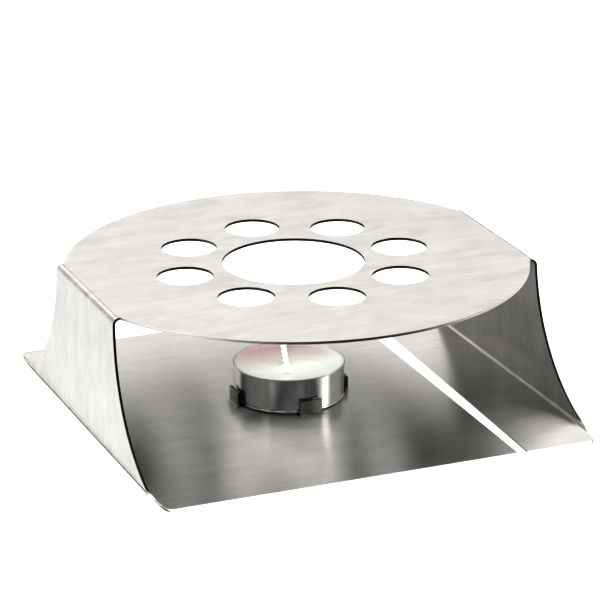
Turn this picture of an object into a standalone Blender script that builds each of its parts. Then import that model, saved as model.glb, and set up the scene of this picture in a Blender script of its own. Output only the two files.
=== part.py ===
"""Tealight warmer: one folded strip of brushed stainless sheet that holds a pot over a tealight.

Run with: blender --background --python part.py
Units are metres and +Z is up. The origin is on the table under the middle of the round plate,
+X runs along the strip towards its short foot, and +Y points to the rear.
"""

import math

import bmesh
import bpy

# The folded sheet
SHEET = 0.0009
HEIGHT = 0.0500              # table to the upper face of the round plate
PLATE_RADIUS = 0.0800
PLATE_FLAT = 0.0746          # from the plate's middle to where each top bend starts
STRIP_HALF_WIDTH = 0.0783    # half the depth of the base
TOP_BEND_RADIUS = 0.0025     # outer faces of the bends
FOOT_BEND_RADIUS = 0.0020
WALL_SPREAD = 0.0013         # each wall leans outwards by this much on its way down
FLARE_RADIUS = 0.0500        # the arcs that narrow the strip to its necks
FLARE_CENTRE_Y = 0.0800
MAIN_END_X = 0.0475          # the long base ends here, at the slit
FOOT_END_FRONT_X = 0.0509    # the short foot ends slightly out of square
FOOT_END_REAR_X = 0.0539

# Holes in the round plate
HOLES_X = -0.0010
HOLES_Y = 0.0008
CENTRE_HOLE_RADIUS = 0.02455
RING_HOLE_RADIUS = 0.00965
RING_RADIUS = 0.0396
RING_HOLES = 8

# Tabs bent up from the base to hold the tealight
CANDLE_X = -0.0030
CANDLE_Y = 0.0010
TAB_COUNT = 4
TAB_INNER_RADIUS = 0.0197    # from the tealight's axis to the tab's inner face
TAB_WIDTH = 0.0080
TAB_TOP = 0.0061
TAB_BEND_RADIUS = 0.00075    # of the sheet's middle surface
TAB_KERF = 0.0004            # width of the cut around a tab
TAB_RELIEF = 0.0006          # how far the cut runs past the bend

# The tealight, with heights above its own underside
CLEARANCE = 0.0003           # gap between pieces that touch
CUP_RADIUS = 0.01925
CUP_HEIGHT = 0.0127
CUP_WALL = 0.00035
CUP_TAPER = 0.0003           # how much narrower the cup is at its foot
CUP_CORNER = 0.0012
RIM_RADIUS = 0.0197
RIM_HEIGHT = 0.0006
WAX_TOP = 0.0118
WAX_DISH = 0.0007            # how far the wax sinks towards the wick
WICK_RADIUS = 0.00115
WICK_TOP = 0.0205
WICK_SLOPE = 0.145           # above the sustainer it leans towards -X by this much per height
SUSTAINER_RADIUS = 0.0060
SUSTAINER_PLATE = 0.0003
SUSTAINER_NECK_RADIUS = 0.0019
SUSTAINER_HEIGHT = 0.0036

# Fineness
BEND_STEPS = 6
FLARE_STEPS = 16
PLATE_ARC_STEPS = 40
CENTRE_HOLE_STEPS = 56
RING_HOLE_STEPS = 28
TAB_BEND_STEPS = 3
TURN_STEPS = 56
SHARP_ANGLE = math.radians(32)

# Worked out from the sizes above
TOP_BEND_MIDDLE = TOP_BEND_RADIUS - SHEET / 2
FOOT_BEND_MIDDLE = FOOT_BEND_RADIUS - SHEET / 2
LEAN = math.atan(WALL_SPREAD / (HEIGHT - TOP_BEND_RADIUS - FOOT_BEND_RADIUS))
TOP_BEND_ANGLE = math.pi / 2 - LEAN
FOOT_BEND_ANGLE = math.pi / 2 + LEAN
WALL_DROP = (
    HEIGHT
    - SHEET
    - TOP_BEND_MIDDLE * (1 - math.cos(TOP_BEND_ANGLE))
    - FOOT_BEND_MIDDLE * (1 + math.cos(TOP_BEND_ANGLE))
)
WALL_LENGTH = WALL_DROP / math.cos(LEAN)
TOP_BEND_LENGTH = TOP_BEND_MIDDLE * TOP_BEND_ANGLE
FOOT_BEND_LENGTH = FOOT_BEND_MIDDLE * FOOT_BEND_ANGLE
WALL_START = PLATE_FLAT + TOP_BEND_LENGTH
WALL_END = WALL_START + WALL_LENGTH
BASE_START = WALL_END + FOOT_BEND_LENGTH
CUP_BOTTOM = SHEET + CLEARANCE
CUP_FLOOR = CUP_WALL + CLEARANCE
NECK_TOP = CUP_FLOOR + SUSTAINER_HEIGHT + CLEARANCE


def clear_scene():
    for obj in list(bpy.data.objects):
        bpy.data.objects.remove(obj, do_unlink=True)


def material(name, colour, roughness, metallic):
    mat = bpy.data.materials.new(name)
    mat.use_nodes = True
    shader = mat.node_tree.nodes["Principled BSDF"]
    shader.inputs["Base Color"].default_value = (*colour, 1.0)
    shader.inputs["Roughness"].default_value = roughness
    shader.inputs["Metallic"].default_value = metallic
    return mat


def add_object(name, bm, mat):
    """A named object from a bmesh, smooth where its faces meet at a shallow angle."""
    mesh = bpy.data.meshes.new(name)
    bm.to_mesh(mesh)
    bm.free()
    mesh.shade_smooth()
    mesh.set_sharp_from_angle(angle=SHARP_ANGLE)
    obj = bpy.data.objects.new(name, mesh)
    obj.data.materials.append(mat)
    bpy.context.scene.collection.objects.link(obj)
    return obj


# ---- Folding: the strip is drawn flat, then bent ---------------------------


def bend_point(start, heading, radius, angle):
    """Where a path at start, heading that many radians below level, is after a bend."""
    x = start[0] + radius * (math.sin(heading + angle) - math.sin(heading))
    z = start[1] - radius * (math.cos(heading) - math.cos(heading + angle))
    return x, z, heading + angle


def folded(distance):
    """(x, z) of the sheet's middle surface, by distance along the strip from the plate's middle."""
    side = math.copysign(1.0, distance)
    left = abs(distance)
    x, z, heading = 0.0, HEIGHT - SHEET / 2, 0.0
    stretches = (
        (PLATE_FLAT, 0.0),
        (TOP_BEND_LENGTH, TOP_BEND_MIDDLE),
        (WALL_LENGTH, 0.0),
        (FOOT_BEND_LENGTH, FOOT_BEND_MIDDLE),
        (math.inf, 0.0),
    )
    for length, radius in stretches:
        step = min(left, length)
        if radius:
            x, z, heading = bend_point((x, z), heading, radius, step / radius)
        else:
            x += step * math.cos(heading)
            z -= step * math.sin(heading)
        left -= step
        if left <= 0:
            break
    return side * x, z


BASE_START_X = folded(BASE_START)[0]


def strip_of_main_base(x):
    """Distance along the strip of a point x on the long base, which hangs from the left wall."""
    return -(BASE_START + BASE_START_X + x)


def strip_of_foot(x):
    return BASE_START + BASE_START_X - x


# ---- The flat blank ---------------------------------------------------------


def arc(centre, radius, start, end, steps):
    """Points on an arc, both ends included, with angles in radians."""
    angles = [start + (end - start) * i / steps for i in range(steps + 1)]
    return [(centre[0] + radius * math.cos(a), centre[1] + radius * math.sin(a)) for a in angles]


def circle(centre, radius, steps):
    return arc(centre, radius, 0.0, math.tau * (steps - 1) / steps, steps - 1)


def front_outline():
    """The blank's front edge, from the slit end of the long base to the end of the short foot."""
    foot = math.asin((FLARE_CENTRE_Y - STRIP_HALF_WIDTH) / FLARE_RADIUS)
    neck = BASE_START - FLARE_RADIUS * math.cos(foot)
    neck_half_width = FLARE_CENTRE_Y - FLARE_RADIUS
    neck_angle = math.asin(neck_half_width / PLATE_RADIUS)
    points = [(strip_of_main_base(MAIN_END_X), -STRIP_HALF_WIDTH)]
    points += arc((-neck, -FLARE_CENTRE_Y), FLARE_RADIUS, math.pi - foot, math.pi / 2, FLARE_STEPS)
    points += arc(
        (0.0, 0.0), PLATE_RADIUS, math.pi + neck_angle, math.tau - neck_angle, PLATE_ARC_STEPS
    )
    points += arc((neck, -FLARE_CENTRE_Y), FLARE_RADIUS, math.pi / 2, foot, FLARE_STEPS)
    points.append((strip_of_foot(FOOT_END_FRONT_X), -STRIP_HALF_WIDTH))
    return points


def blank_outline():
    front = front_outline()
    rear = [(x, -y) for x, y in reversed(front)]
    rear[0] = (strip_of_foot(FOOT_END_REAR_X), STRIP_HALF_WIDTH)
    return front + rear


def ring_hole_centres():
    for i in range(RING_HOLES):
        angle = math.tau * i / RING_HOLES
        yield HOLES_X + RING_RADIUS * math.cos(angle), HOLES_Y + RING_RADIUS * math.sin(angle)


def tab_angles():
    return [math.tau * i / TAB_COUNT for i in range(TAB_COUNT)]


def tab_root_radius():
    return TAB_INNER_RADIUS + SHEET / 2 + TAB_BEND_RADIUS


def tab_length():
    """Flat length of a tab, from its root to its tip."""
    straight = TAB_TOP - SHEET / 2 - TAB_BEND_RADIUS
    return straight + TAB_BEND_RADIUS * math.pi / 2


def tab_point(angle, radius, across):
    """A point on the base plane, by its distance from the tealight's axis and across the tab."""
    x = CANDLE_X + radius * math.cos(angle) - across * math.sin(angle)
    y = CANDLE_Y + radius * math.sin(angle) + across * math.cos(angle)
    return x, y


def tab_window(angle):
    """Outline of the opening that a tab is cut from. Its first two points are the tab's root."""
    root = tab_root_radius()
    half = TAB_WIDTH / 2
    corners = (
        (root, -half),
        (root, half),
        (root + TAB_RELIEF, half),
        (root + TAB_RELIEF, half + TAB_KERF),
        (root - tab_length() - TAB_KERF, half + TAB_KERF),
        (root - tab_length() - TAB_KERF, -half - TAB_KERF),
        (root + TAB_RELIEF, -half - TAB_KERF),
        (root + TAB_RELIEF, -half),
    )
    points = [tab_point(angle, radius, across) for radius, across in corners]
    return [(strip_of_main_base(x), y) for x, y in points]


def add_loop(bm, points):
    verts = [bm.verts.new((x, y, 0.0)) for x, y in points]
    edges = [bm.edges.new((a, b)) for a, b in zip(verts, verts[1:] + verts[:1])]
    return verts, edges


def bend_lines():
    """Distances along the strip where the flat blank is divided, so that it can bend."""
    top = [PLATE_FLAT + TOP_BEND_LENGTH * i / BEND_STEPS for i in range(BEND_STEPS + 1)]
    foot = [WALL_END + FOOT_BEND_LENGTH * i / BEND_STEPS for i in range(BEND_STEPS + 1)]
    return [side * line for line in top + foot for side in (-1, 1)]


def fold(bm):
    for line in bend_lines():
        geom = bm.verts[:] + bm.edges[:] + bm.faces[:]
        bmesh.ops.bisect_plane(bm, geom=geom, plane_co=(line, 0, 0), plane_no=(1, 0, 0), dist=1e-7)
    for vert in bm.verts:
        x, z = folded(vert.co.x)
        vert.co = (x, vert.co.y, z)


def raise_tab(bm, edge, angle):
    """Bends a tab up from its root edge: an arc, then a straight run."""
    root_height = SHEET / 2
    path = []
    for i in range(1, TAB_BEND_STEPS + 1):
        turn = math.pi / 2 * i / TAB_BEND_STEPS
        path.append((TAB_BEND_RADIUS * math.sin(turn), TAB_BEND_RADIUS * (1 - math.cos(turn))))
    path.append((TAB_BEND_RADIUS, TAB_TOP - root_height))
    inward = 0.0
    for reach, rise in path:
        made = bmesh.ops.extrude_edge_only(bm, edges=[edge])["geom"]
        verts = [item for item in made if isinstance(item, bmesh.types.BMVert)]
        for vert in verts:
            vert.co.x -= (reach - inward) * math.cos(angle)
            vert.co.y -= (reach - inward) * math.sin(angle)
            vert.co.z = root_height + rise
        inward = reach
        edge = next(e for e in verts[0].link_edges if e.other_vert(verts[0]) is verts[1])


def stand_sheet(mat):
    """The whole stand: blank cut with its holes, folded, tabs raised, then given its thickness."""
    bm = bmesh.new()
    _, edges = add_loop(bm, blank_outline())
    edges += add_loop(bm, circle((HOLES_X, HOLES_Y), CENTRE_HOLE_RADIUS, CENTRE_HOLE_STEPS))[1]
    for centre in ring_hole_centres():
        edges += add_loop(bm, circle(centre, RING_HOLE_RADIUS, RING_HOLE_STEPS))[1]
    roots = []
    for angle in tab_angles():
        verts, window = add_loop(bm, tab_window(angle))
        edges += window
        roots.append((verts[0], verts[1], angle))
    bmesh.ops.triangle_fill(bm, use_beauty=True, use_dissolve=False, edges=edges)
    fold(bm)
    for first, second, angle in roots:
        edge = next(e for e in first.link_edges if e.other_vert(first) is second)
        raise_tab(bm, edge, angle)
    bmesh.ops.recalc_face_normals(bm, faces=bm.faces[:])
    obj = add_object("stand_sheet", bm, mat)
    solidify = obj.modifiers.new("sheet_thickness", "SOLIDIFY")
    solidify.thickness = SHEET
    solidify.offset = 0.0
    solidify.use_even_offset = True
    return obj


# ---- The tealight -----------------------------------------------------------


def turned(name, profile, mat, parent, steps=TURN_STEPS):
    """A piece turned around its own Z axis from a closed or axis-to-axis profile of (r, z)."""
    bm = bmesh.new()
    verts = [bm.verts.new((r, 0.0, z)) for r, z in profile]
    ends = list(zip(verts, verts[1:]))
    if profile[0][0] > 0:
        ends.append((verts[-1], verts[0]))
    edges = [bm.edges.new(pair) for pair in ends]
    bmesh.ops.spin(
        bm,
        geom=verts + edges,
        cent=(0, 0, 0),
        axis=(0, 0, 1),
        angle=math.tau,
        steps=steps,
        use_merge=True,
    )
    bmesh.ops.remove_doubles(bm, verts=bm.verts[:], dist=1e-6)
    bmesh.ops.recalc_face_normals(bm, faces=bm.faces[:])
    obj = add_object(name, bm, mat)
    obj.parent = parent
    return obj


def candle_cup(mat, parent):
    foot = CUP_RADIUS - CUP_TAPER
    corner = arc((foot - CUP_CORNER, CUP_CORNER), CUP_CORNER, -math.pi / 2, 0.0, 4)
    inner = CUP_CORNER - CUP_WALL
    inner_corner = arc((foot - CUP_CORNER, CUP_CORNER), inner, 0.0, -math.pi / 2, 4)
    profile = [(0.0, 0.0)]
    profile += corner
    profile += [
        (CUP_RADIUS, CUP_HEIGHT - RIM_HEIGHT),
        (RIM_RADIUS, CUP_HEIGHT - RIM_HEIGHT / 2),
        (RIM_RADIUS - CUP_WALL / 3, CUP_HEIGHT),
        (CUP_RADIUS - CUP_WALL, CUP_HEIGHT - CUP_WALL / 3),
        (CUP_RADIUS - CUP_WALL, CUP_HEIGHT - RIM_HEIGHT),
    ]
    profile += inner_corner
    profile.append((0.0, CUP_WALL))
    return turned("candle_cup", profile, mat, parent)


def wick_shift(height):
    """How far the wick has leaned along X at a height above the cup's underside."""
    return -WICK_SLOPE * max(0.0, height - NECK_TOP)


def candle_wax(mat, parent):
    """Wax cast in the cup, hollowed for the sustainer and pierced for the leaning wick."""
    side = CUP_RADIUS - CUP_WALL - CLEARANCE
    wick_hole = WICK_RADIUS + CLEARANCE
    neck_hole = SUSTAINER_NECK_RADIUS + CLEARANCE
    pocket = SUSTAINER_RADIUS + CLEARANCE
    pocket_top = CUP_FLOOR + SUSTAINER_PLATE + CLEARANCE
    profile = [
        (pocket, CUP_FLOOR),
        (side - CUP_TAPER - CUP_CORNER, CUP_FLOOR),
        (side - CUP_TAPER, CUP_FLOOR + CUP_CORNER),
        (side, WAX_TOP),
        (side * 0.97, WAX_TOP - WAX_DISH * 0.45),
        (side * 0.80, WAX_TOP - WAX_DISH * 0.80),
        (side * 0.45, WAX_TOP - WAX_DISH),
        (wick_hole, WAX_TOP - WAX_DISH * 0.7),
        (wick_hole, NECK_TOP),
        (neck_hole, NECK_TOP),
        (neck_hole, pocket_top),
        (pocket, pocket_top),
    ]
    obj = turned("candle_wax", profile, mat, parent)
    for vert in obj.data.vertices:
        if vert.co.xy.length < neck_hole:
            vert.co.x += wick_shift(vert.co.z)
    return obj


def wick_sustainer(mat, parent):
    """Thin steel disc with a neck that grips the wick's foot."""
    bore = WICK_RADIUS + CLEARANCE
    profile = [
        (bore, CUP_FLOOR),
        (SUSTAINER_RADIUS, CUP_FLOOR),
        (SUSTAINER_RADIUS, CUP_FLOOR + SUSTAINER_PLATE),
        (SUSTAINER_NECK_RADIUS, CUP_FLOOR + SUSTAINER_PLATE),
        (SUSTAINER_NECK_RADIUS, CUP_FLOOR + SUSTAINER_HEIGHT),
        (bore, CUP_FLOOR + SUSTAINER_HEIGHT),
    ]
    return turned("wick_sustainer", profile, mat, parent, steps=32)


def wick(mat, parent):
    """Cotton wick: upright in the sustainer, then leaning."""
    heights = (CUP_FLOOR, NECK_TOP, WAX_TOP, WICK_TOP)
    points = [(wick_shift(height), height) for height in heights]
    curve = bpy.data.curves.new("wick", "CURVE")
    curve.dimensions = "3D"
    spline = curve.splines.new("POLY")
    spline.points.add(len(points) - 1)
    for point, (x, z) in zip(spline.points, points):
        point.co = (x, 0.0, z, 1.0)
    curve.bevel_depth = WICK_RADIUS
    curve.bevel_resolution = 3
    curve.use_fill_caps = True
    curve.materials.append(mat)
    obj = bpy.data.objects.new("wick", curve)
    obj.parent = parent
    bpy.context.scene.collection.objects.link(obj)
    return obj


def tealight():
    """All four pieces hang on one empty on the tealight's axis, so they lift out together."""
    empty = bpy.data.objects.new("tealight", None)
    empty.location = (CANDLE_X, CANDLE_Y, CUP_BOTTOM)
    bpy.context.scene.collection.objects.link(empty)
    candle_cup(material("aluminium_foil", (0.78, 0.78, 0.79), 0.25, 1.0), empty)
    candle_wax(material("white_wax", (0.87, 0.85, 0.80), 0.45, 0.0), empty)
    wick_sustainer(material("tinned_steel", (0.60, 0.60, 0.60), 0.35, 1.0), empty)
    wick(material("waxed_cotton", (0.90, 0.89, 0.85), 0.80, 0.0), empty)


def main():
    clear_scene()
    stand_sheet(material("brushed_stainless", (0.66, 0.65, 0.63), 0.32, 1.0))
    tealight()
    bpy.context.view_layer.update()


main()
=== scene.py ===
"""Looks of the tealight warmer: its folded brushed sheet, drawn foil cup, cast wax and braided wick.

Units are metres in the CAD frame: +Z up, +X along the strip towards its short foot, +Y to the rear.
"""

import math

import bmesh
import bpy
from mathutils import Matrix, Vector


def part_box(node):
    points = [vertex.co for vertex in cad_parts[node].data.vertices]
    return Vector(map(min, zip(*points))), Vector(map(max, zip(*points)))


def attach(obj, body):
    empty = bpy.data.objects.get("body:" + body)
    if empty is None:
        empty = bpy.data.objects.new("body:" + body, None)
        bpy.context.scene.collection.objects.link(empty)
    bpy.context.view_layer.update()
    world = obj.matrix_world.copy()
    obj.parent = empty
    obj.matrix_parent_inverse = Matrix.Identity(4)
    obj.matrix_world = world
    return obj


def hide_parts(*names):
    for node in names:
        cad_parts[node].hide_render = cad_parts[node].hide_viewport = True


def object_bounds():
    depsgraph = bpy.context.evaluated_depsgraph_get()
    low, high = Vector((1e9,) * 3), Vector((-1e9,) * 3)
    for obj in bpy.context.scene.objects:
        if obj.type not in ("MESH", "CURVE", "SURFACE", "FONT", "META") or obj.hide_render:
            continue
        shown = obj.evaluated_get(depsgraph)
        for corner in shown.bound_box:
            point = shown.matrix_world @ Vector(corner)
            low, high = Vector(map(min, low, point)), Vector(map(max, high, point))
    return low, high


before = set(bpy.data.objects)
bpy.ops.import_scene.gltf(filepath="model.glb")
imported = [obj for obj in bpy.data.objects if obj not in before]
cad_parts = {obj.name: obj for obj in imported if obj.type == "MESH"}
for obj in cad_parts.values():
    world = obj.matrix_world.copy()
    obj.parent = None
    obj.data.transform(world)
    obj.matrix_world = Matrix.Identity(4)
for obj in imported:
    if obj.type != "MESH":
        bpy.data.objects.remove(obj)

CAD_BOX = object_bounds()

# ---- Sizes of the folded sheet, as the CAD model has them -------------------
SHEET = 0.0009
HEIGHT = 0.0500
PLATE_RADIUS = 0.0800
PLATE_FLAT = 0.0746
STRIP_HALF_WIDTH = 0.0783
TOP_BEND_RADIUS = 0.0025
FOOT_BEND_RADIUS = 0.0020
WALL_SPREAD = 0.0013
FLARE_RADIUS = 0.0500
FLARE_CENTRE_Y = 0.0800
MAIN_END_X = 0.0475
FOOT_END_FRONT_X = 0.0509
FOOT_END_REAR_X = 0.0539
HOLES_X = -0.0010
HOLES_Y = 0.0008
CENTRE_HOLE_RADIUS = 0.02455
RING_HOLE_RADIUS = 0.00965
RING_RADIUS = 0.0396
RING_HOLES = 8
TAB_COUNT = 4
TAB_INNER_RADIUS = 0.0197
TAB_WIDTH = 0.0080
TAB_TOP = 0.0061
TAB_BEND_RADIUS = 0.00075
TAB_KERF = 0.0004
TAB_RELIEF = 0.0006

# ---- Sizes of the tealight's inside, as the CAD model has them ----------------
WICK_RADIUS = 0.00115
WICK_TOP = 0.0205
WICK_SLOPE = 0.145
NECK_TOP = 0.00455

# ---- Where the tealight stands, from the CAD model ---------------------------
CUP_LOW, CUP_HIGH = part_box("candle_cup")
CANDLE_X = (CUP_LOW.x + CUP_HIGH.x) / 2
CANDLE_Y = (CUP_LOW.y + CUP_HIGH.y) / 2
CUP_BOTTOM = CUP_LOW.z
CUP_TOP = CUP_HIGH.z
RIM_RADIUS = (CUP_HIGH.x - CUP_LOW.x) / 2
WAX_LOW, WAX_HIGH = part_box("candle_wax")
WAX_RADIUS = (WAX_HIGH.x - WAX_LOW.x) / 2
WAX_BOTTOM = WAX_LOW.z - CUP_BOTTOM

# ---- Details too fine for the CAD model ----------------------------------------
CORNER_RADIUS = 0.0022       # rounding of the sheet's four tips
WAX_RIM = 0.0125             # where the wax clings to the cup's rim, above the cup's underside
RIM_BEAD = 0.00032           # radius of the cup's rolled rim
CAST_RADIUS = RIM_RADIUS - 2 * RIM_BEAD
WAX_LEVEL = 0.0114
WAX_SINK = 0.0005            # how much lower it lies towards the wick
WAX_CLING = 0.0007           # how fast the clinging wax falls away from the cup
DIMPLE_PLACE = (-0.0026, -0.0066)    # from the wick: where the wax sank as it set
DIMPLE_RADIUS = 0.0017
DIMPLE_DEPTH = 0.0007
WAX_DRAFT = 0.0003           # how much narrower the wax is at its underside than the CAD model's
WICK_CLING = 0.0006          # how fast the wax that climbs the wick falls away
RIPPLE_HEIGHT = 0.00006
RIPPLE_START = 0.004         # distance from the axis where the ripple is at its full height
STRANDS = 3
STRAND_RADIUS = 0.00062
STRAND_PITCH = 0.0052
STRAND_SUNK = 0.0012         # how far the strands reach down below the wax's level
STRAND_END = 0.9             # how much of its radius a strand keeps at its cut end
FLUTE_DEPTH = 0.04           # of the fibres' flutes along a strand, as a share of its radius
FLUTES = 5
FLUTE_TWIST = 9              # the flutes' turns of phase for one turn of the strands

# The foil cup's section
FOIL_WALL = 0.00030
FOIL_TAPER = 0.0003          # how much narrower it is at the foot than under the rim
FOOT_BEAD = 0.00045          # radius of the bead round the foot
CREASE_DEPTH = 0.00025       # of the crease above the bead
CREASE_HEIGHTS = (3.1 * FOOT_BEAD, 3.4 * FOOT_BEAD)
CREASE_RADII = (0.0003, 0.0006)
BOTTOM_RAISE = 0.00055       # height of the raised bottom's underside
STEP_HIGH = 0.0030           # how far inside the foot that underside starts to step down
STEP_LOW = (0.0022, 0.00002)    # and how far inside, and at what height, the step ends
LINING_HIGH = 0.0032         # the same for the bottom's upper side
LINING_LOW = (0.0026, 0.00010)    # whose height is given without the foil's thickness

# ---- Fineness ------------------------------------------------------------------
BEND_STEPS = 14
FLARE_STEPS = 40
CORNER_STEPS = 6
PLATE_ARC_STEPS = 110
CENTRE_HOLE_STEPS = 112
RING_HOLE_STEPS = 56
TAB_BEND_STEPS = 6
BURR = 0.00012               # rounding left by tumbling on every cut edge
TURN_STEPS = 128
FOOT_BEAD_STEPS = 8
CREASE_STEPS = (5, 4)
RIM_BEAD_STEPS = 14
WAX_RINGS = 40
STRAND_STEPS = 40
RING_CROWDING = 1.5          # above 1, the wax's rings lie closer together towards the cup
STRAND_SIDES = 12
SHARP_ANGLE = math.radians(50)
BURR_ANGLE = math.radians(60)
FLAT_NORMAL = 0.9999         # a face this well aligned with its stretch of strip is flat
CUT_TOLERANCE = 1e-7
MERGE_TOLERANCE = 1e-6
UV_PER_METRE = 10            # the UV map holds the flat blank in decimetres

# ---- Worked out from the sizes above ------------------------------------------
TOP_BEND_MIDDLE = TOP_BEND_RADIUS - SHEET / 2
FOOT_BEND_MIDDLE = FOOT_BEND_RADIUS - SHEET / 2
LEAN = math.atan(WALL_SPREAD / (HEIGHT - TOP_BEND_RADIUS - FOOT_BEND_RADIUS))
TOP_BEND_ANGLE = math.pi / 2 - LEAN
FOOT_BEND_ANGLE = math.pi / 2 + LEAN
WALL_DROP = (
    HEIGHT
    - SHEET
    - TOP_BEND_MIDDLE * (1 - math.cos(TOP_BEND_ANGLE))
    - FOOT_BEND_MIDDLE * (1 + math.cos(TOP_BEND_ANGLE))
)
WALL_LENGTH = WALL_DROP / math.cos(LEAN)
TOP_BEND_LENGTH = TOP_BEND_MIDDLE * TOP_BEND_ANGLE
FOOT_BEND_LENGTH = FOOT_BEND_MIDDLE * FOOT_BEND_ANGLE
WALL_START = PLATE_FLAT + TOP_BEND_LENGTH
WALL_END = WALL_START + WALL_LENGTH
BASE_START = WALL_END + FOOT_BEND_LENGTH


def wick_shift(height):
    """How far the wick has leaned along X at a height above the cup's underside."""
    return -WICK_SLOPE * max(0.0, height - NECK_TOP)


# ---- Node helpers ----------------------------------------------------------------


def new_material(name):
    mat = bpy.data.materials.new(name)
    mat.use_nodes = True
    tree = mat.node_tree
    return mat, tree, tree.nodes["Principled BSDF"]


def node(tree, kind, **values):
    """A shader node with its attributes set; a key that isn't an attribute names an input."""
    made = tree.nodes.new(kind)
    for key, value in values.items():
        if hasattr(made, key):
            setattr(made, key, value)
        else:
            made.inputs[key].default_value = value
    return made


def link(tree, source, target):
    tree.links.new(source, target)


def object_place(tree):
    """Where a point lies in its object's own frame, in metres."""
    return node(tree, "ShaderNodeTexCoord").outputs["Object"]


def coordinates(tree, vector):
    """The X, Y and Z outputs of a vector."""
    made = node(tree, "ShaderNodeSeparateXYZ")
    link(tree, vector, made.inputs[0])
    return made.outputs


def noise(tree, vector, scale, detail, roughness, distortion=0.0):
    made = node(
        tree, "ShaderNodeTexNoise", Scale=scale, Detail=detail, Roughness=roughness, Distortion=distortion
    )
    link(tree, vector, made.inputs["Vector"])
    return made.outputs["Fac"]


def stretched(tree, vector, scale):
    """A place for a texture, with each axis scaled; below 1 draws the marks out along it."""
    made = node(tree, "ShaderNodeMapping", Scale=scale)
    link(tree, vector, made.inputs["Vector"])
    return made.outputs["Vector"]


def ramp(tree, value, low, high, to_low=0.0, to_high=1.0):
    """Maps a value's range to another, held at both ends."""
    made = tree.nodes.new("ShaderNodeMapRange")
    made.inputs["From Min"].default_value = low
    made.inputs["From Max"].default_value = high
    made.inputs["To Min"].default_value = to_low
    made.inputs["To Max"].default_value = to_high
    link(tree, value, made.inputs["Value"])
    return made.outputs["Result"]


def math_node(tree, operation, a, b):
    made = node(tree, "ShaderNodeMath", operation=operation)
    for socket, value in zip(made.inputs, (a, b)):
        if isinstance(value, (int, float)):
            socket.default_value = value
        else:
            link(tree, value, socket)
    return made.outputs[0]


def mix_colour(tree, factor, a, b):
    """Colour a at factor 0 and b at factor 1. Each is a socket or three numbers."""
    made = node(tree, "ShaderNodeMix", data_type="RGBA")
    for socket, value in ((made.inputs[0], factor), (made.inputs[6], a), (made.inputs[7], b)):
        if isinstance(value, (int, float)):
            socket.default_value = value
        elif isinstance(value, tuple):
            socket.default_value = (*value, 1.0)
        else:
            link(tree, value, socket)
    return made.outputs[2]


def bump(tree, height, strength, distance, normal=None):
    made = node(tree, "ShaderNodeBump", Strength=strength, Distance=distance)
    link(tree, height, made.inputs["Height"])
    if normal is not None:
        link(tree, normal, made.inputs["Normal"])
    return made.outputs["Normal"]


def rough_from(tree, texture, low, high):
    """A roughness that follows a noise texture, whose values lie mostly between 0.3 and 0.7."""
    return ramp(tree, texture, 0.3, 0.7, low, high)


def weighted_sum(tree, a, weight_a, b, weight_b):
    """Two values between 0 and 1, each times its weight, added."""
    scaled = [ramp(tree, value, 0.0, 1.0, 0.0, weight) for value, weight in ((a, weight_a), (b, weight_b))]
    return math_node(tree, "ADD", *scaled)


def distance_from_axis(tree, place):
    """How far a point is from the Z axis."""
    level = node(tree, "ShaderNodeVectorMath", operation="MULTIPLY")
    level.inputs[1].default_value = (1.0, 1.0, 0.0)
    link(tree, place, level.inputs[0])
    length = node(tree, "ShaderNodeVectorMath", operation="LENGTH")
    link(tree, level.outputs[0], length.inputs[0])
    return length.outputs["Value"]


def paint(tree, shader, colour, dullness, relief=None, metallic=0.0):
    """Gives a shader its colour, roughness and relief."""
    link(tree, colour, shader.inputs["Base Color"])
    link(tree, dullness, shader.inputs["Roughness"])
    if relief is not None:
        link(tree, relief, shader.inputs["Normal"])
    shader.inputs["Metallic"].default_value = metallic


# ---- Materials --------------------------------------------------------------------

# Colours that follow a texture, each from its darkest to its lightest
STEEL = ((0.43, 0.425, 0.415), (0.61, 0.602, 0.588))
OXIDE = ((0.025, 0.024, 0.023), (0.065, 0.062, 0.06))
BURR_METAL = ((0.50, 0.49, 0.475), (0.70, 0.69, 0.675))
ALUMINIUM = ((0.74, 0.74, 0.75), (0.86, 0.86, 0.87))
WHITE_WAX = ((0.88, 0.90, 0.84), (0.94, 0.96, 0.91))
COTTON = ((0.88, 0.87, 0.84), (0.96, 0.955, 0.94))
TIN = ((0.52, 0.52, 0.52), (0.68, 0.68, 0.67))

RUBBED_STEEL = (0.42, 0.415, 0.41)
WORN_STEEL = (0.86, 0.855, 0.85)
# Painted shade: the wax's rear, darker and pinker, as the plate's shadow
REAR_SHADE_WAX = (0.56, 0.38, 0.38)
# Painted shade in the dimple's hollow
DIMPLE_SHADE_WAX = (0.62, 0.52, 0.50)

STEEL_ROUGH = (0.30, 0.36)   # from where the sheet is least worn to where it is most
LINE_ROUGH = (-0.03, 0.03)   # what the brush lines add to it
STEEL_GRAIN = 0.95           # how much wider a reflection spreads across the grain than along it
GRAIN_TURN = 0.25            # of a full turn, so that reflections spread across the brush lines

# Where a look fades: the start and the end
WORN_HEIGHTS = (0.0013, 0.00234)    # below these, cut edges are worn bright by the table
RUBBED_RADII = (0.0560, 0.0610)    # outside these, the plate's edge is rubbed bright by pots and hands
PLATE_RIM = (PLATE_RADIUS + 0.0002, PLATE_RADIUS + 0.0006)    # but not past these, on the bends
PLATE_HEIGHTS = (HEIGHT - 2 * SHEET, HEIGHT - 1.5 * SHEET)    # nor below these
MATT_RIM = (CUP_TOP - 0.0008, CUP_TOP - 0.0004)    # above these, the cup's rolled rim is matt
REAR_SHADE_WAX_Y = (CANDLE_Y - 0.002, CANDLE_Y + 0.016)    # behind these, the wax is painted darker and pinker: a painted shadow of the plate over its rear
DIMPLE_SHADE_REACH = (0.0006, 1.4 * DIMPLE_RADIUS)    # within these of the dimple's middle, it is painted darker: painted shade in the hollow


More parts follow.
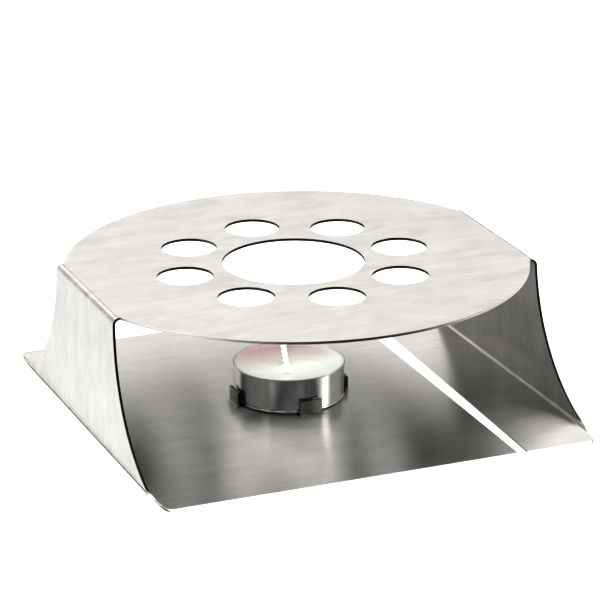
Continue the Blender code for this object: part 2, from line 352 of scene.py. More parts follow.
def streaks(tree, blank, along, across, detail, spread, distortion=0.0):
    """One layer of brushing, 0 to 1, by its marks per decimetre along and across the strip."""
    marks = noise(tree, stretched(tree, blank, (along, across, 1.0)), 1.0, detail, 0.6, distortion)
    return ramp(tree, marks, 0.5 - spread, 0.5 + spread)


def brushed_steel():
    """Stainless sheet brushed along the strip."""
    mat, tree, shader = new_material("brushed_stainless")
    blank = node(tree, "ShaderNodeUVMap", uv_map="blank").outputs["UV"]
    hair = streaks(tree, blank, along=16.0, across=230.0, detail=3.0, spread=0.12)
    grain = streaks(tree, blank, along=7.0, across=80.0, detail=4.0, spread=0.14, distortion=0.3)
    band = streaks(tree, blank, along=1.2, across=16.0, detail=3.0, spread=0.14)
    cloud = streaks(tree, blank, along=6.0, across=11.0, detail=5.0, spread=0.14, distortion=0.8)
    lines = weighted_sum(tree, hair, 0.4, grain, 0.6)
    wear = weighted_sum(tree, band, 0.4, cloud, 0.6)
    colour = mix_colour(tree, weighted_sum(tree, lines, 0.45, wear, 0.55), *STEEL)
    line_rough = ramp(tree, lines, 0.0, 1.0, *LINE_ROUGH)
    dullness = math_node(tree, "ADD", line_rough, ramp(tree, wear, 0.0, 1.0, *STEEL_ROUGH))
    paint(tree, shader, colour, dullness, bump(tree, lines, 0.6, 0.00002), metallic=1.0)
    shader.inputs["Anisotropic"].default_value = STEEL_GRAIN
    shader.inputs["Anisotropic Rotation"].default_value = GRAIN_TURN
    tangent = node(tree, "ShaderNodeTangent", direction_type="UV_MAP", uv_map="blank")
    link(tree, tangent.outputs["Tangent"], shader.inputs["Tangent"])
    return mat


def cut_edge():
    """Laser-cut edge: dark oxide with striations through the sheet, worn bright by the table and by pots."""
    mat, tree, shader = new_material("cut_edge")
    place = object_place(tree)
    striae = noise(tree, stretched(tree, place, (1.0, 1.0, 0.15)), 2600.0, 3.0, 0.6)
    radius = distance_from_axis(tree, place)
    height = coordinates(tree, place)["Z"]
    outside = ramp(tree, radius, *RUBBED_RADII)
    on_plate = ramp(tree, radius, *PLATE_RIM, 1.0, 0.0)
    high = ramp(tree, height, *PLATE_HEIGHTS)
    rim = math_node(tree, "MULTIPLY", math_node(tree, "MULTIPLY", outside, on_plate), high)
    rubbed = mix_colour(tree, rim, mix_colour(tree, striae, *OXIDE), RUBBED_STEEL)
    worn = ramp(tree, height, *WORN_HEIGHTS, 1.0, 0.0)
    colour = mix_colour(tree, worn, rubbed, WORN_STEEL)
    relief = bump(tree, striae, 0.3, 0.00003)
    paint(tree, shader, colour, rough_from(tree, striae, 0.26, 0.38), relief, metallic=1.0)
    return mat


def burr_steel():
    """The rounded lip along every cut: bright, tumbled, with no brush direction."""
    mat, tree, shader = new_material("burr_steel")
    nicks = noise(tree, object_place(tree), 1800.0, 3.0, 0.6)
    colour = mix_colour(tree, nicks, *BURR_METAL)
    relief = bump(tree, nicks, 0.2, 0.00002)
    paint(tree, shader, colour, rough_from(tree, nicks, 0.22, 0.36), relief, metallic=1.0)
    return mat


def foil():
    """Drawn aluminium foil, bright, with faint draw marks, shallow dents and a matt rolled rim."""
    mat, tree, shader = new_material("aluminium_foil")
    place = object_place(tree)
    dents = noise(tree, place, 260.0, 2.0, 0.5)
    draw = noise(tree, stretched(tree, place, (1.0, 1.0, 0.06)), 2400.0, 3.0, 0.6)
    rim = ramp(tree, coordinates(tree, place)["Z"], *MATT_RIM, 0.0, 0.22)
    dullness = math_node(tree, "ADD", rough_from(tree, draw, 0.10, 0.18), rim)
    relief = bump(tree, dents, 0.18, 0.0002, bump(tree, draw, 0.10, 0.00002))
    paint(tree, shader, mix_colour(tree, draw, *ALUMINIUM), dullness, relief, metallic=1.0)
    return mat


def wax():
    """White wax, faintly mottled where it set, with painted shade: darker and pinker towards the rear, as the
    plate's shadow, and in the dimple.
    """
    mat, tree, shader = new_material("white_wax")
    place = object_place(tree)
    mottle = noise(tree, place, 190.0, 4.0, 0.55, 0.4)
    # Painted shadow of the plate: the wax's rear is mixed towards a darker, pinker colour
    rear = ramp(tree, coordinates(tree, place)["Y"], *REAR_SHADE_WAX_Y, 0.0, 0.85)
    rear_shaded = mix_colour(tree, rear, mix_colour(tree, mottle, *WHITE_WAX), REAR_SHADE_WAX)
    foot_x = CANDLE_X + wick_shift(WAX_LEVEL)
    dimple = (foot_x + DIMPLE_PLACE[0], CANDLE_Y + DIMPLE_PLACE[1], CUP_BOTTOM + WAX_LEVEL)
    apart = node(tree, "ShaderNodeVectorMath", operation="DISTANCE")
    apart.inputs[1].default_value = dimple
    link(tree, place, apart.inputs[0])
    # Painted shade: the wax is darker in the dimple's hollow
    dimple_shade = ramp(tree, apart.outputs["Value"], *DIMPLE_SHADE_REACH, 0.9, 0.0)
    colour = mix_colour(tree, dimple_shade, rear_shaded, DIMPLE_SHADE_WAX)
    paint(tree, shader, colour, rough_from(tree, mottle, 0.30, 0.48), bump(tree, mottle, 0.25, 0.0003))
    shader.inputs["Subsurface Weight"].default_value = 0.35
    shader.inputs["Subsurface Radius"].default_value = (0.004, 0.003, 0.002)
    shader.inputs["Subsurface Scale"].default_value = 0.5
    return mat


def cotton():
    """Braided cotton soaked in wax."""
    mat, tree, shader = new_material("waxed_cotton")
    fibre = noise(tree, stretched(tree, object_place(tree), (1.0, 1.0, 0.25)), 5200.0, 3.0, 0.6)
    relief = bump(tree, fibre, 0.4, 0.00008)
    paint(tree, shader, mix_colour(tree, fibre, *COTTON), rough_from(tree, fibre, 0.55, 0.8), relief)
    shader.inputs["Sheen Weight"].default_value = 0.2
    return mat


def tinned_steel():
    """Plain tinned sheet."""
    mat, tree, shader = new_material("tinned_steel")
    spangle = noise(tree, object_place(tree), 900.0, 3.0, 0.5)
    colour = mix_colour(tree, spangle, *TIN)
    paint(tree, shader, colour, rough_from(tree, spangle, 0.28, 0.42), metallic=1.0)
    return mat


# ---- The folded sheet ---------------------------------------------------------------


def folded(distance):
    """(x, z) of the sheet's middle surface, by distance along the strip from the plate's middle."""
    side = math.copysign(1.0, distance)
    left = abs(distance)
    x, z, heading = 0.0, HEIGHT - SHEET / 2, 0.0
    stretches = (
        (PLATE_FLAT, 0.0),
        (TOP_BEND_LENGTH, TOP_BEND_MIDDLE),
        (WALL_LENGTH, 0.0),
        (FOOT_BEND_LENGTH, FOOT_BEND_MIDDLE),
        (math.inf, 0.0),
    )
    for length, radius in stretches:
        step = min(left, length)
        turn = step / radius if radius else 0.0
        if radius:
            x += radius * (math.sin(heading + turn) - math.sin(heading))
            z -= radius * (math.cos(heading) - math.cos(heading + turn))
        else:
            x += step * math.cos(heading)
            z -= step * math.sin(heading)
        heading += turn
        left -= step
        if left <= 0:
            break
    return side * x, z


BASE_START_X = folded(BASE_START)[0]


def strip_of_main_base(x):
    return -(BASE_START + BASE_START_X + x)


def strip_of_foot(x):
    return BASE_START + BASE_START_X - x


def arc(centre, radius, start, end, steps):
    angles = [start + (end - start) * i / steps for i in range(steps + 1)]
    return [(centre[0] + radius * math.cos(a), centre[1] + radius * math.sin(a)) for a in angles]


def circle(centre, radius, steps):
    return arc(centre, radius, 0.0, math.tau * (steps - 1) / steps, steps - 1)


def blank_outline():
    """The flat blank: base edge, flare, round plate, flare and foot at the front, mirrored at the rear."""
    foot = math.asin((FLARE_CENTRE_Y - STRIP_HALF_WIDTH) / FLARE_RADIUS)
    neck = BASE_START - FLARE_RADIUS * math.cos(foot)
    neck_angle = math.asin((FLARE_CENTRE_Y - FLARE_RADIUS) / PLATE_RADIUS)
    round_foot = foot + CORNER_RADIUS / FLARE_RADIUS
    tip = (neck + FLARE_RADIUS * math.cos(foot) + CORNER_RADIUS, -STRIP_HALF_WIDTH + CORNER_RADIUS)
    front = [(strip_of_main_base(MAIN_END_X), -STRIP_HALF_WIDTH)]
    front += arc((-tip[0], tip[1]), CORNER_RADIUS, -math.pi / 2, 0.0, CORNER_STEPS)[:-1]
    front += arc((-neck, -FLARE_CENTRE_Y), FLARE_RADIUS, math.pi - round_foot, math.pi / 2, FLARE_STEPS)
    front += arc((0.0, 0.0), PLATE_RADIUS, math.pi + neck_angle, math.tau - neck_angle, PLATE_ARC_STEPS)
    front += arc((neck, -FLARE_CENTRE_Y), FLARE_RADIUS, math.pi / 2, round_foot, FLARE_STEPS)
    front += arc(tip, CORNER_RADIUS, math.pi, 3 * math.pi / 2, CORNER_STEPS)[1:]
    front.append((strip_of_foot(FOOT_END_FRONT_X), -STRIP_HALF_WIDTH))
    rear = [(x, -y) for x, y in reversed(front)]
    rear[0] = (strip_of_foot(FOOT_END_REAR_X), STRIP_HALF_WIDTH)
    return front + rear


def tab_window(angle):
    """Outline of the opening that a tab is cut from. Its first two points are the tab's root."""
    root = TAB_INNER_RADIUS + SHEET / 2 + TAB_BEND_RADIUS
    length = TAB_TOP - SHEET / 2 - TAB_BEND_RADIUS + TAB_BEND_RADIUS * math.pi / 2
    half = TAB_WIDTH / 2
    corners = (
        (root, -half),
        (root, half),
        (root + TAB_RELIEF, half),
        (root + TAB_RELIEF, half + TAB_KERF),
        (root - length - TAB_KERF, half + TAB_KERF),
        (root - length - TAB_KERF, -half - TAB_KERF),
        (root + TAB_RELIEF, -half - TAB_KERF),
        (root + TAB_RELIEF, -half),
    )
    points = []
    for radius, across in corners:
        x = CANDLE_X + radius * math.cos(angle) - across * math.sin(angle)
        y = CANDLE_Y + radius * math.sin(angle) + across * math.cos(angle)
        points.append((strip_of_main_base(x), y))
    return points


def add_loop(bm, points):
    verts = [bm.verts.new((x, y, 0.0)) for x, y in points]
    edges = [bm.edges.new((a, b)) for a, b in zip(verts, verts[1:] + verts[:1])]
    return verts, edges


def edge_between(first, second):
    return next(e for e in first.link_edges if e.other_vert(first) is second)


def fold(bm, uv):
    """Cuts the blank into narrow strips at the bends, stores it as the UV map, and folds it."""
    lines = [PLATE_FLAT + TOP_BEND_LENGTH * i / BEND_STEPS for i in range(BEND_STEPS + 1)]
    lines += [WALL_END + FOOT_BEND_LENGTH * i / BEND_STEPS for i in range(BEND_STEPS + 1)]
    for line in [side * line for line in lines for side in (-1, 1)]:
        geom = bm.verts[:] + bm.edges[:] + bm.faces[:]
        bmesh.ops.bisect_plane(bm, geom=geom, plane_co=(line, 0, 0), plane_no=(1, 0, 0), dist=CUT_TOLERANCE)
    for face in bm.faces:
        for loop in face.loops:
            loop[uv].uv = loop.vert.co.xy * UV_PER_METRE
    for vert in bm.verts:
        x, z = folded(vert.co.x)
        vert.co = (x, vert.co.y, z)


def raise_tab(bm, uv, edge, angle):
    """Bends a tab up from its root edge: an arc, then a straight run."""
    path = []
    for i in range(1, TAB_BEND_STEPS + 1):
        turn = math.pi / 2 * i / TAB_BEND_STEPS
        path.append((TAB_BEND_RADIUS * math.sin(turn), TAB_BEND_RADIUS * (1 - math.cos(turn))))
    path.append((TAB_BEND_RADIUS, TAB_TOP - SHEET / 2))
    out = Vector((math.cos(angle), math.sin(angle), 0.0))
    reach_before = 0.0
    for reach, rise in path:
        made = bmesh.ops.extrude_edge_only(bm, edges=[edge])["geom"]
        verts = [item for item in made if isinstance(item, bmesh.types.BMVert)]
        for vert in verts:
            vert.co -= out * (reach - reach_before)
            vert.co.z = SHEET / 2 + rise
        for face in (item for item in made if isinstance(item, bmesh.types.BMFace)):
            for loop in face.loops:
                x, y, z = (value * UV_PER_METRE for value in loop.vert.co)
                loop[uv].uv = (x + z, y)
        reach_before = reach
        edge = edge_between(*verts)


def sheet_surface():
    """The middle surface of the folded sheet, with the flat blank as its UV map."""
    bm = bmesh.new()
    uv = bm.loops.layers.uv.new("blank")
    _, edges = add_loop(bm, blank_outline())
    edges += add_loop(bm, circle((HOLES_X, HOLES_Y), CENTRE_HOLE_RADIUS, CENTRE_HOLE_STEPS))[1]
    for i in range(RING_HOLES):
        angle = math.tau * i / RING_HOLES
        centre = (HOLES_X + RING_RADIUS * math.cos(angle), HOLES_Y + RING_RADIUS * math.sin(angle))
        edges += add_loop(bm, circle(centre, RING_HOLE_RADIUS, RING_HOLE_STEPS))[1]
    roots = []
    for i in range(TAB_COUNT):
        angle = math.tau * i / TAB_COUNT
        verts, window = add_loop(bm, tab_window(angle))
        edges += window
        roots.append((verts[0], verts[1], angle))
    bmesh.ops.triangle_fill(bm, use_beauty=True, use_dissolve=False, edges=edges)
    fold(bm, uv)
    for first, second, angle in roots:
        raise_tab(bm, uv, edge_between(first, second), angle)
    bmesh.ops.recalc_face_normals(bm, faces=bm.faces[:])
    mesh = bpy.data.meshes.new("stand_skin")
    bm.to_mesh(mesh)
    bm.free()
    return mesh


def stretch_normal(distance):
    """The normal of the flat stretch of strip at this distance, or None inside a bend."""
    side = math.copysign(1.0, distance)
    if abs(distance) < PLATE_FLAT:
        return Vector((0.0, 0.0, 1.0))
    if WALL_START < abs(distance) < WALL_END:
        return Vector((side * math.cos(LEAN), 0.0, math.sin(LEAN)))
    if abs(distance) > BASE_START:
        return Vector((0.0, 0.0, 1.0))
    return None


def flatten_flats(mesh):
    """Shades the flat stretches flat, so that only bends and lips are smooth."""
    blank = mesh.uv_layers["blank"].uv
    for face in mesh.polygons:
        middle = sum(blank[i].vector.x for i in face.loop_indices) / face.loop_total / UV_PER_METRE
        normal = stretch_normal(middle)
        face.use_smooth = normal is None or abs(face.normal.dot(normal)) < FLAT_NORMAL


def stand_skin():
    """The folded sheet at its thickness, with a tumbled lip along every cut."""
    mesh = sheet_surface()
    mesh.shade_smooth()
    rough = bpy.data.objects.new("folded_sheet", mesh)
    bpy.context.scene.collection.objects.link(rough)
    sheet, edge, lip = brushed_steel(), cut_edge(), burr_steel()
    for mat in (sheet, edge, lip):
        mesh.materials.append(mat)
    thick = rough.modifiers.new("thickness", "SOLIDIFY")
    thick.thickness = SHEET
    thick.offset = 0.0
    thick.use_even_offset = True
    thick.material_offset_rim = mesh.materials.find(edge.name)
    burr = rough.modifiers.new("burr", "BEVEL")
    burr.width = BURR
    burr.segments = 2
    burr.limit_method = "ANGLE"
    burr.angle_limit = BURR_ANGLE
    burr.material = mesh.materials.find(lip.name)
    graph = bpy.context.evaluated_depsgraph_get()
    skin = bpy.data.meshes.new_from_object(
        rough.evaluated_get(graph), preserve_all_data_layers=True, depsgraph=graph
    )
    bpy.data.objects.remove(rough)
    flatten_flats(skin)
    obj = bpy.data.objects.new("stand_skin", skin)
    bpy.context.scene.collection.objects.link(obj)
    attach(obj, "stand")
    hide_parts("stand_sheet")
    return obj


# ---- The tealight -----------------------------------------------------------------


def turned(name, profile, mat, node_name):
    """A piece turned around the tealight's axis from a profile of (r, z) that starts and ends on the axis."""
    bm = bmesh.new()
    verts = [bm.verts.new((r, 0.0, z)) for r, z in profile]
    edges = [bm.edges.new(pair) for pair in zip(verts, verts[1:])]
    bmesh.ops.spin(
        bm,
        geom=verts + edges,
        cent=(0, 0, 0),
        axis=(0, 0, 1),
        angle=math.tau,
        steps=TURN_STEPS,
        use_merge=True,
    )
    bmesh.ops.remove_doubles(bm, verts=bm.verts[:], dist=MERGE_TOLERANCE)
    return tealight_piece(name, bm, mat, node_name)


def tealight_piece(name, bm, mat, node_name):
    """Makes an object of a mesh built round the cup's axis, from the cup's underside up."""
    bmesh.ops.recalc_face_normals(bm, faces=bm.faces[:])
    bmesh.ops.translate(bm, verts=bm.verts[:], vec=(CANDLE_X, CANDLE_Y, CUP_BOTTOM))
    mesh = bpy.data.meshes.new(name)
    bm.to_mesh(mesh)
    bm.free()
    mesh.shade_smooth()
    mesh.set_sharp_from_angle(angle=SHARP_ANGLE)
    mesh.materials.append(mat)
    obj = bpy.data.objects.new(name, mesh)
    bpy.context.scene.collection.objects.link(obj)
    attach(obj, "tealight")
    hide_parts(node_name)
    return obj


def foil_cup():
    """Drawn cup: a rolled rim, a slightly tapered wall, a rolled foot bead and a raised bottom."""
    height = CUP_TOP - CUP_BOTTOM
    side = RIM_RADIUS - RIM_BEAD
    foot = side - FOIL_TAPER
    neck = foot - CREASE_DEPTH
    low, high = CREASE_HEIGHTS
    tight, slack = CREASE_RADII
    profile = [(0.0, BOTTOM_RAISE), (foot - STEP_HIGH, BOTTOM_RAISE), (foot - STEP_LOW[0], STEP_LOW[1])]
    profile += arc((foot - FOOT_BEAD, FOOT_BEAD), FOOT_BEAD, -math.pi / 2, math.pi / 3, FOOT_BEAD_STEPS)
    profile += arc((neck + tight, low), tight, 1.25 * math.pi, math.pi, CREASE_STEPS[0])
    profile += arc((foot - slack, high), slack, -0.2, 0.15, CREASE_STEPS[1])
    profile.append((side, height - 2.6 * RIM_BEAD))
    profile += arc((side, height - RIM_BEAD), RIM_BEAD, -math.pi / 2, math.pi, RIM_BEAD_STEPS)
    profile.append((side - RIM_BEAD, height - 3.0 * RIM_BEAD))
    profile += [(neck - FOIL_WALL, low), (foot - LINING_LOW[0], LINING_LOW[1] + FOIL_WALL)]
    profile += [(foot - LINING_HIGH, BOTTOM_RAISE + FOIL_WALL), (0.0, BOTTOM_RAISE + FOIL_WALL)]
    return turned("foil_cup", profile, foil(), "candle_cup")


def wax_height(x, y):
    """The wax's surface above the cup's underside, at a place measured from the cup's axis."""
    radius = math.hypot(x, y)
    foot = wick_shift(WAX_LEVEL)
    from_wick = max(0.0, math.hypot(x - foot, y) - WICK_RADIUS)
    from_dimple = math.hypot(x - foot - DIMPLE_PLACE[0], y - DIMPLE_PLACE[1])
    height = WAX_LEVEL - WAX_SINK * (1 - (radius / CAST_RADIUS) ** 2)
    height += (WAX_RIM - WAX_LEVEL) * math.exp((radius - CAST_RADIUS) / WAX_CLING)
    height += WAX_CLING * math.exp(-from_wick / WICK_CLING)
    height -= DIMPLE_DEPTH * math.exp(-((from_dimple / DIMPLE_RADIUS) ** 2))
    angle = math.atan2(y, x)
    # A slow ripple round the cup, and a quick one that turns with the distance from its axis
    ripple = math.sin(3 * angle + 0.7) + 0.6 * math.sin(7 * angle + radius * 900.0)
    return height + RIPPLE_HEIGHT * ripple * min(1.0, radius / RIPPLE_START)


def wax_cast():
    """The wax: sunk round the wick and one dimple, clinging to the cup all round."""
    bm = bmesh.new()
    rings = [CAST_RADIUS * (1 - (1 - i / WAX_RINGS) ** RING_CROWDING) for i in range(1, WAX_RINGS + 1)]
    top = []
    for radius in rings:
        ring = []
        for i in range(TURN_STEPS):
            x = radius * math.cos(math.tau * i / TURN_STEPS)
            y = radius * math.sin(math.tau * i / TURN_STEPS)
            ring.append(bm.verts.new((x, y, wax_height(x, y))))
        top.append(ring)
    draft = (WAX_RADIUS - WAX_DRAFT) / CAST_RADIUS
    base = [bm.verts.new((v.co.x * draft, v.co.y * draft, WAX_BOTTOM)) for v in top[-1]]
    centre = bm.verts.new((0.0, 0.0, wax_height(0.0, 0.0)))
    under = bm.verts.new((0.0, 0.0, WAX_BOTTOM))
    for i in range(TURN_STEPS):
        j = (i + 1) % TURN_STEPS
        bm.faces.new((centre, top[0][i], top[0][j]))
        bm.faces.new((under, base[j], base[i]))
        for inner, outer in zip(top, [*top[1:], base]):
            bm.faces.new((inner[i], outer[i], outer[j], inner[j]))
    return tealight_piece("wax_cast", bm, wax(), "candle_wax")


def wick_braid():
    """Three cotton strands twisted round each other, upright in the sustainer and then leaning."""
    bm = bmesh.new()
    low = WAX_LEVEL - STRAND_SUNK
    reach = WICK_RADIUS - STRAND_RADIUS
    for strand in range(STRANDS):
        rings = []
        for step in range(STRAND_STEPS + 1):
            height = low + (WICK_TOP - low) * step / STRAND_STEPS
            turn = math.tau * (strand / STRANDS + height / STRAND_PITCH)
            width = STRAND_RADIUS * (STRAND_END if step == STRAND_STEPS else 1.0)
            centre_x = wick_shift(height) + reach * math.cos(turn)
            centre_y = reach * math.sin(turn)
            ring = []
            for i in range(STRAND_SIDES):
                angle = math.tau * i / STRAND_SIDES
                radius = width * (1 + FLUTE_DEPTH * math.sin(FLUTES * angle + FLUTE_TWIST * turn))
                ring.append(bm.verts.new((
                    centre_x + radius * math.cos(angle),
                    centre_y + radius * math.sin(angle),
                    height,
                )))
            rings.append(ring)
        for lower, upper in zip(rings, rings[1:]):
            for i in range(STRAND_SIDES):
                j = (i + 1) % STRAND_SIDES
                bm.faces.new((lower[i], lower[j], upper[j], upper[i]))
        bm.faces.new(rings[-1])
        bm.faces.new(rings[0][::-1])
    return tealight_piece("wick_braid", bm, cotton(), "wick")


def finish_sustainer():
    """The sustainer keeps its CAD shape and gets its own material."""
    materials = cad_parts["wick_sustainer"].data.materials
    materials.clear()
    materials.append(tinned_steel())


def main():
    stand_skin()
    foil_cup()
    wax_cast()
    wick_braid()
    finish_sustainer()


# ---- Studio ---------------------------------------------------------------------------

# Soft boxes as patches of sky: azimuths from +Y towards +X, elevations, both in degrees, and strength
PANEL_EDGE = 5.0             # half the width of a patch's soft edge, in degrees
PANELS = {
    "overhead": ((-180, 180), (66, 120), 2.1),
    "front_left_high": ((-135, -90), (44, 66), 1.6),
    "left_high": ((-90, -30), (44, 66), 4.0),
    "rear_high": ((-30, 30), (44, 66), 3.6),
    "right_high": ((30, 90), (44, 66), 3.0),
    "front_high": ((135, 225), (34, 66), 0.4),
    "left": ((-110, -70), (-2, 44), 7.5),
    "rear_left": ((-40, 2), (27, 44), 3.5),
    "rear_low": ((-40, 12), (-2, 27), 1.0),
    "rear_right": ((12, 45), (22, 44), 3.4),
    "right_rear": ((45, 65), (8, 44), 0.4),
    "right": ((65, 85), (8, 44), 2.4),
    "right_front": ((85, 105), (8, 44), 4.4),
    "right_strip": ((112, 126), (8, 50), 7.0),
}
SURROUNDINGS = 0.03          # strength of the sky between the patches
SKY_COLOUR = (0.80, 0.792, 0.782, 1.0)
BACKDROP_COLOUR = (1.0, 1.0, 1.0, 1.0)

TABLE_GLOW = 1.05            # the table is lit from below, as in a light tent
FLOOR_SIZE = 8.0
PAPER_GREY = 0.85
PAPER_SPECULAR = 0.1
CARD_GREY = 0.01
CARD_SPECULAR = 0.0
MATT_ROUGHNESS = 0.9

# How far below the object's underside the table and the cards on it lie: apart, so that none share a plane
FLOOR_DROP = 0.0002
STRIP_DROP = 0.00012
FLAG_DROP = 0.0001
WINDOW_DROP = 0.00008

FLAGS = {                    # black cards behind and in front of the object, each by two opposite corners
    "flag_behind": ((-0.072, 0.083), (0.14, 0.48)),
    "flag_front": ((-0.22, -0.45), (0.18, -0.12)),
    "flag_far": ((-1.0, -3.5), (1.0, -0.45)),
}
SHADE_STRIP_MARGIN = 0.0025      # how far the strips of painted contact shade under the two foot bends stand out past them
SHADE_STRIP_REACH = 0.0080       # and how far they reach in under the base
SLIT_SHADE_STRIP = (0.0455, 0.0502)    # where the strip of painted shade under the slit starts and ends along X
WINDOW_SHADE_REACH = 1.4           # half the size of the card of painted shade under the tabs' windows, in inner tab radii


def soft_range(tree, value, limits, edge):
    """1 where an angle in radians is inside limits in degrees, fading to 0 over twice the edge."""
    middle = math.radians((limits[0] + limits[1]) / 2)
    half = (limits[1] - limits[0]) / 2
    offset = math_node(tree, "SUBTRACT", value, middle)
    wrapped = node(tree, "ShaderNodeMath", operation="WRAP")
    wrapped.inputs[1].default_value = math.pi
    wrapped.inputs[2].default_value = -math.pi
    link(tree, offset, wrapped.inputs[0])
    away = math_node(tree, "ABSOLUTE", wrapped.outputs[0], 0.0)
    made = node(tree, "ShaderNodeMapRange", interpolation_type="SMOOTHSTEP")
    made.inputs["From Min"].default_value = math.radians(half - edge)
    made.inputs["From Max"].default_value = math.radians(half + edge)
    made.inputs["To Min"].default_value = 1.0
    made.inputs["To Max"].default_value = 0.0
    link(tree, away, made.inputs["Value"])
    return made.outputs["Result"]


def studio():
    """A dark room with soft boxes, and a white backdrop wherever the camera looks past the object.

    The sky lights only what mirrors it. Lamps and the table's glow light the matt surfaces.
    """
    world = bpy.data.worlds.new("studio")
    bpy.context.scene.world = world
    world.use_nodes = True
    world.cycles_visibility.diffuse = False
    tree = world.node_tree
    tree.nodes.clear()
    direction = node(tree, "ShaderNodeTexCoord").outputs["Generated"]
    heading = coordinates(tree, direction)
    azimuth = math_node(tree, "ARCTAN2", heading["X"], heading["Y"])
    elevation = math_node(tree, "ARCSINE", heading["Z"], 0.0)
    total = SURROUNDINGS
    for azimuths, elevations, strength in PANELS.values():
        patch = soft_range(tree, elevation, elevations, PANEL_EDGE)
        if azimuths[1] - azimuths[0] < 360:
            patch = math_node(tree, "MULTIPLY", patch, soft_range(tree, azimuth, azimuths, PANEL_EDGE))
        total = math_node(tree, "ADD", math_node(tree, "MULTIPLY", patch, strength), total)
    room = node(tree, "ShaderNodeBackground", Color=SKY_COLOUR)
    link(tree, total, room.inputs["Strength"])
    backdrop = node(tree, "ShaderNodeBackground", Color=BACKDROP_COLOUR)
    seen = node(tree, "ShaderNodeLightPath").outputs["Is Camera Ray"]
    mix = node(tree, "ShaderNodeMixShader")
    link(tree, seen, mix.inputs[0])
    link(tree, room.outputs[0], mix.inputs[1])
    link(tree, backdrop.outputs[0], mix.inputs[2])
    out = node(tree, "ShaderNodeOutputWorld")
    link(tree, mix.outputs[0], out.inputs["Surface"])


def matt_material(name, grey, specular):
    """A matt grey for the table or a card, with its shader."""
    mat, _, shader = new_material(name)
    shader.inputs["Base Color"].default_value = (grey, grey, grey, 1.0)
    shader.inputs["Roughness"].default_value = MATT_ROUGHNESS
    shader.inputs["Specular IOR Level"].default_value = specular
    return mat, shader


def floor():
    """White paper on the table, glowing."""
    bpy.ops.mesh.primitive_plane_add(size=FLOOR_SIZE, location=(0, 0, CAD_BOX[0].z - FLOOR_DROP))
    obj = bpy.context.object
    obj.name = "floor"
    mat, shader = matt_material("floor_paper", PAPER_GREY, PAPER_SPECULAR)
    shader.inputs["Emission Color"].default_value = (1.0, 1.0, 1.0, 1.0)
    shader.inputs["Emission Strength"].default_value = TABLE_GLOW
    obj.data.materials.append(mat)


def black_card(name, low, high, drop, mat, seen=False):
    """A card on the table, by two corners. An unseen one shows only as a dark reflection in the metal."""
    middle = ((low[0] + high[0]) / 2, (low[1] + high[1]) / 2, CAD_BOX[0].z - drop)
    bpy.ops.mesh.primitive_plane_add(size=1.0, location=middle)
    obj = bpy.context.object
    obj.name = name
    obj.scale = (high[0] - low[0], high[1] - low[1], 1)
    obj.data.materials.append(mat)
    obj.visible_camera = seen
    obj.visible_shadow = False
    obj.visible_diffuse = False


def black_cards():
    """Flags; strips of painted contact shade under the foot bends and the slit; and one card of painted shade
    seen through the tabs' windows.
    """
    mat, _ = matt_material("black_card", CARD_GREY, CARD_SPECULAR)
    for name, corners in FLAGS.items():
        black_card(name, *corners, FLAG_DROP, mat)
    left, right = CAD_BOX[0].x, CAD_BOX[1].x
    # Painted contact shade: black strips under the foot bends and the slit, seen only in the metal's
    # reflections
    strips = {
        "painted_contact_shade_left": (left - SHADE_STRIP_MARGIN, left + SHADE_STRIP_REACH),
        "painted_contact_shade_right": (right - SHADE_STRIP_REACH, right + SHADE_STRIP_MARGIN),
        "painted_slit_shade": SLIT_SHADE_STRIP,
    }
    for name, (start, end) in strips.items():
        black_card(name, (start, -STRIP_HALF_WIDTH), (end, STRIP_HALF_WIDTH), STRIP_DROP, mat)
    reach = Vector((TAB_INNER_RADIUS, TAB_INNER_RADIUS)) * WINDOW_SHADE_REACH
    tealight = Vector((CANDLE_X, CANDLE_Y))
    # Painted shade: a black card seen through the tabs' windows, where the base shades the table
    black_card("painted_shade_under_tealight", tealight - reach, tealight + reach, WINDOW_DROP, mat, seen=True)


# Lamps for the matt surfaces: table, wax and wick. Nothing mirrors them. Each has an azimuth and elevation
# as the panels have, a distance from the cup's rim, a size, and a power in watts
FILL_LAMPS = {
    "soft_top": (0.0, 88.0, 1.2, 1.5, 15.0),
    "wax_lamp": (180.0, 68.0, 0.034, 0.03, 0.0042),
    "wick_lamp": (-158.0, 13.0, 0.60, 0.15, 2.6),
}


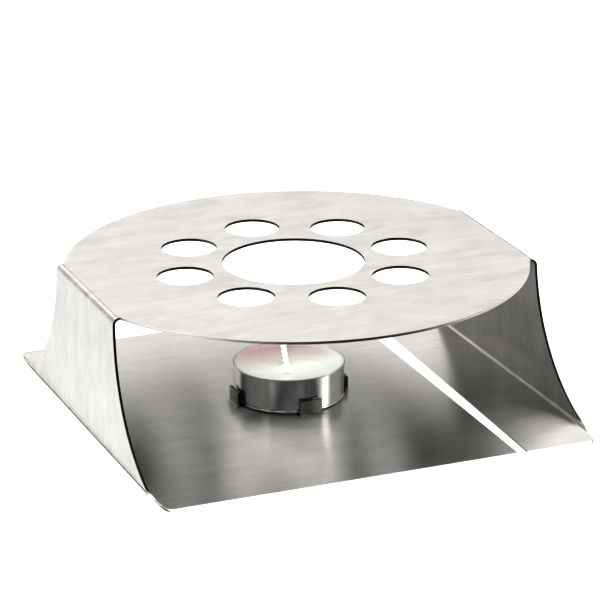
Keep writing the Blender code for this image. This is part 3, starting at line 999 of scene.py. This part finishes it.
def fill_lamps():
    """Area lamps that face the tealight and that nothing mirrors."""
    for name, (azimuth, elevation, distance, size, power) in FILL_LAMPS.items():
        data = bpy.data.lights.new(name, "AREA")
        data.size = size
        data.energy = power
        obj = bpy.data.objects.new(name, data)
        away = Vector((
            math.sin(math.radians(azimuth)) * math.cos(math.radians(elevation)),
            math.cos(math.radians(azimuth)) * math.cos(math.radians(elevation)),
            math.sin(math.radians(elevation)),
        ))
        obj.matrix_world = Matrix.Translation(Vector((CANDLE_X, CANDLE_Y, CUP_TOP)) + away * distance) @ (
            away.to_track_quat("Z", "Y").to_matrix().to_4x4()
        )
        obj.visible_glossy = False
        obj.visible_camera = False
        bpy.context.scene.collection.objects.link(obj)


PRINT_GAMMA = 0.7            # the contrast of a catalogue print

# Camera: a long lens, from the front left, with its direction in radians
CAMERA_AZIMUTH = math.radians(-21.70)
CAMERA_ELEVATION = math.radians(19.57)
CAMERA_ROLL = math.radians(-0.51)
CAMERA_DISTANCE = 1.2249
CAMERA_LENS = 194.2          # in millimetres, as the sensor's width
CAMERA_SENSOR = 36.0
CAMERA_CLIP = (0.05, 30.0)
CAMERA_TARGET = Vector((0.0382, 0.0934, 0.0))


def camera():
    """A camera whose picture is close to a product shot's."""
    data = bpy.data.cameras.new("camera")
    data.lens = CAMERA_LENS
    data.sensor_width = CAMERA_SENSOR
    data.clip_start, data.clip_end = CAMERA_CLIP
    obj = bpy.data.objects.new("camera", data)
    back = Vector((
        math.sin(CAMERA_AZIMUTH) * math.cos(CAMERA_ELEVATION),
        -math.cos(CAMERA_AZIMUTH) * math.cos(CAMERA_ELEVATION),
        math.sin(CAMERA_ELEVATION),
    ))
    level = (-back).to_track_quat("-Z", "Y").to_matrix()
    tilt = Matrix.Rotation(CAMERA_ROLL, 3, "Z")
    obj.matrix_world = Matrix.Translation(CAMERA_TARGET + back * CAMERA_DISTANCE) @ (level @ tilt).to_4x4()
    bpy.context.scene.collection.objects.link(obj)
    bpy.context.scene.camera = obj


main()
studio()
floor()
black_cards()
fill_lamps()
camera()
bpy.context.scene.view_settings.view_transform = "Standard"
bpy.context.scene.view_settings.gamma = PRINT_GAMMA
bpy.context.view_layer.update()
